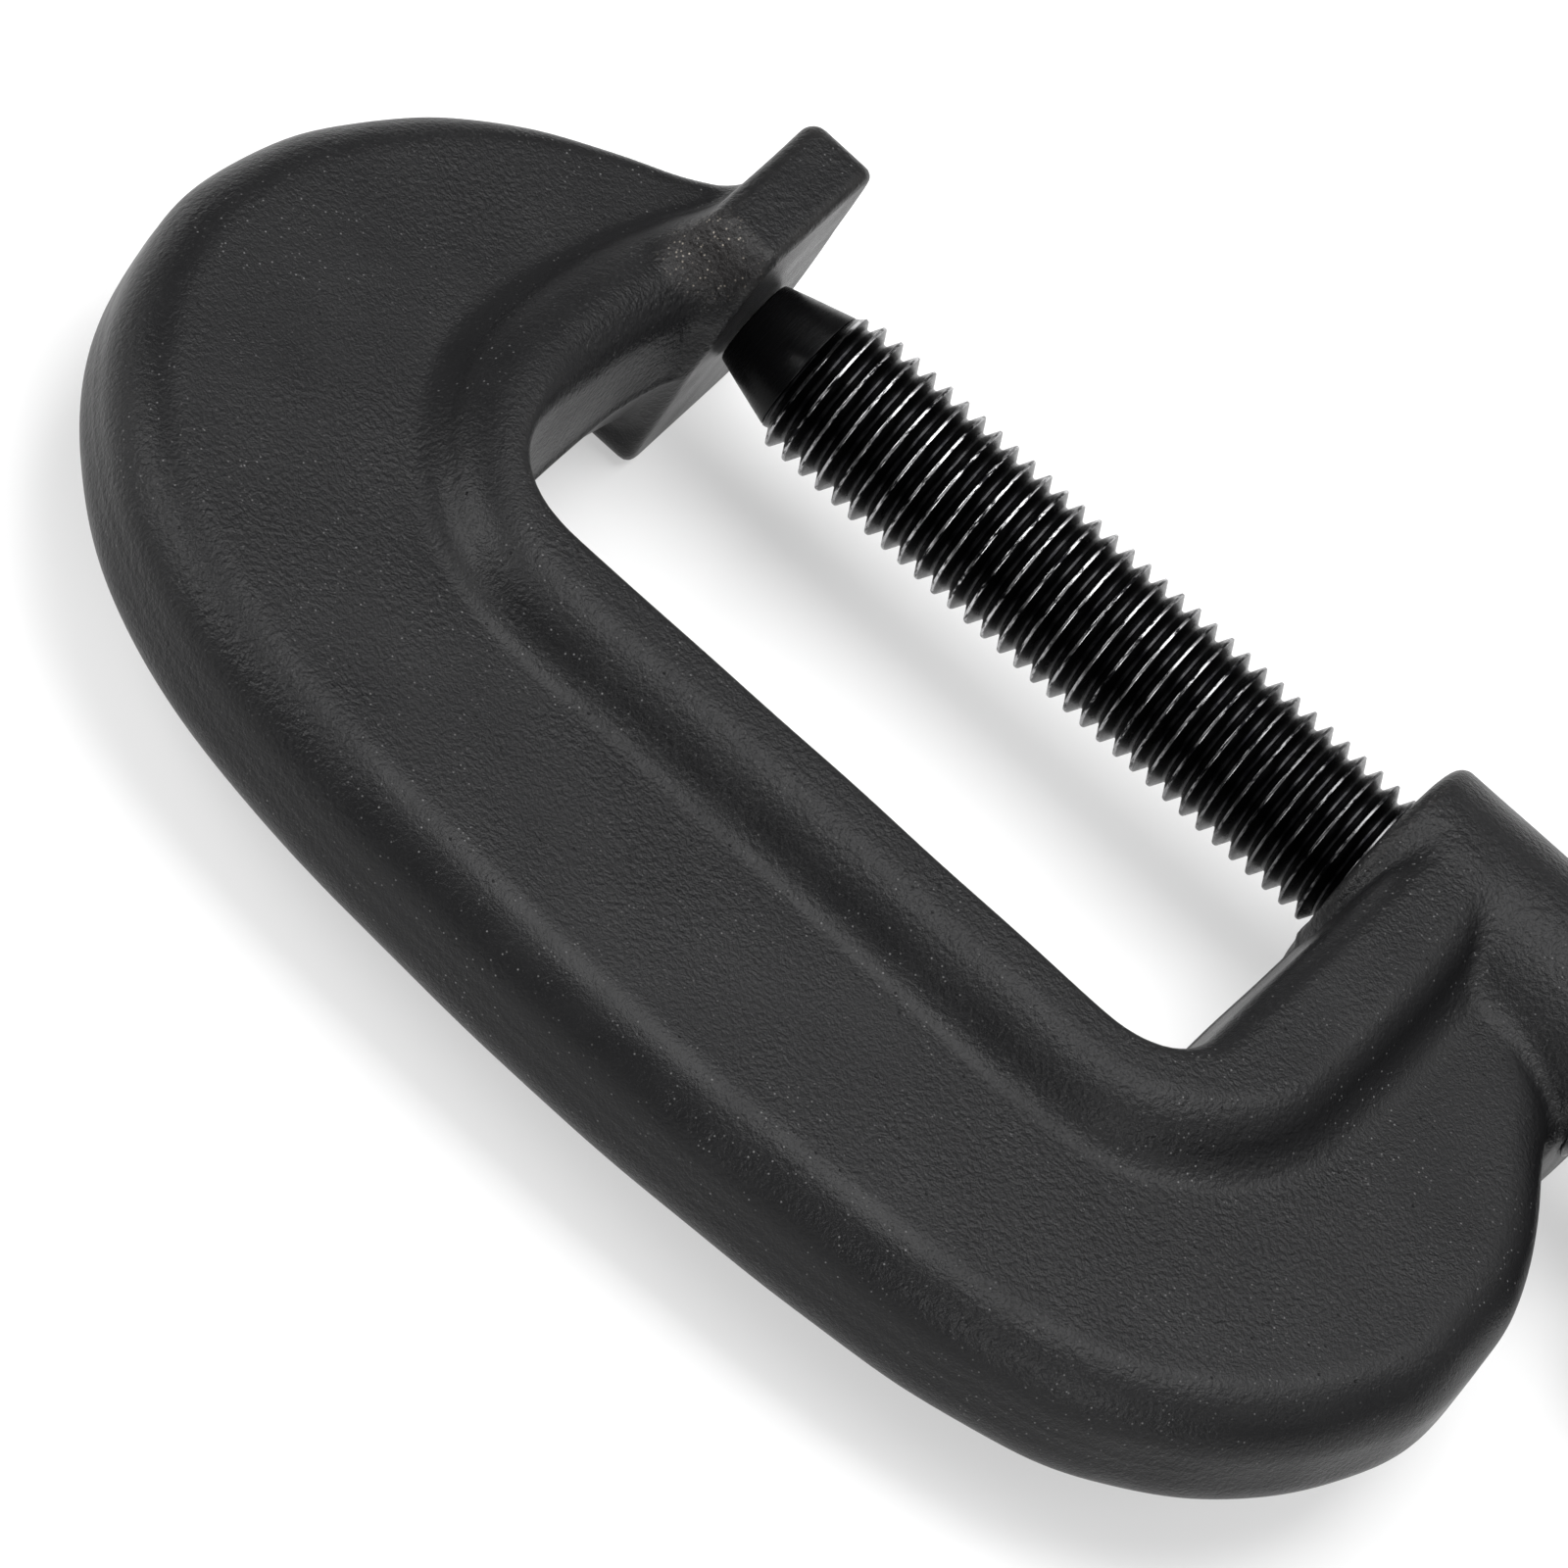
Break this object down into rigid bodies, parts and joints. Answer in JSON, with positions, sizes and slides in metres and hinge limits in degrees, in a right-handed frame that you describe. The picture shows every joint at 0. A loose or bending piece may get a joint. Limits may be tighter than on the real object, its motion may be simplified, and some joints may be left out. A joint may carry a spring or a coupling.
{
  "type": "c clamp",
  "caption": "Drop-forged C-clamp with a ribbed frame, a rectangular anvil, a threaded spindle with a plain tapered nose, and a sliding tommy bar; shown fully closed.",
  "frame": {"origin": "centre of the anvil's working face, on the axis of the screw", "axes": "+X along the screw's axis, from the anvil toward the hub and the handle; -Y toward the spine, so the clamp lies on its side; +Z square to the plane of the C"},
  "size_m": [0.2196, 0.2002, 0.04],
  "materials": {
    "frame_paint": "satin",
    "nose_steel": "gloss",
    "spindle_steel": "gloss",
    "bar_steel": "satin",
    "knob_steel": "satin"
  },
  "bodies": {
    "frame_body": {"frame": "frame_paint"},
    "nose_body": {"spindle_nose": "nose_steel"},
    "screw_body": {"spindle": "spindle_steel"},
    "bar_body": {"tommy_bar": "bar_steel", "knob_inner": "knob_steel", "knob_outer": "knob_steel"}
  },
  "joints": [
    {"name": "screw_travel", "type": "slide", "parent": "frame_body", "child": "nose_body", "axis": [1, 0, 0], "range_m": [0, 0.0889]},
    {"name": "screw_turn", "type": "hinge", "parent": "nose_body", "child": "screw_body", "pos_m": [0, 0, 0], "axis": [1, 0, 0], "range_deg": [0, 12600]},
    {"name": "bar_slide", "type": "slide", "parent": "screw_body", "child": "bar_body", "axis": [0, 1, 0], "range_m": [-0.0674, 0]}
  ],
  "couplings": [
    {"joint": "screw_travel", "follows": "screw_turn", "m_per_rad": 0.00040425}
  ]
}
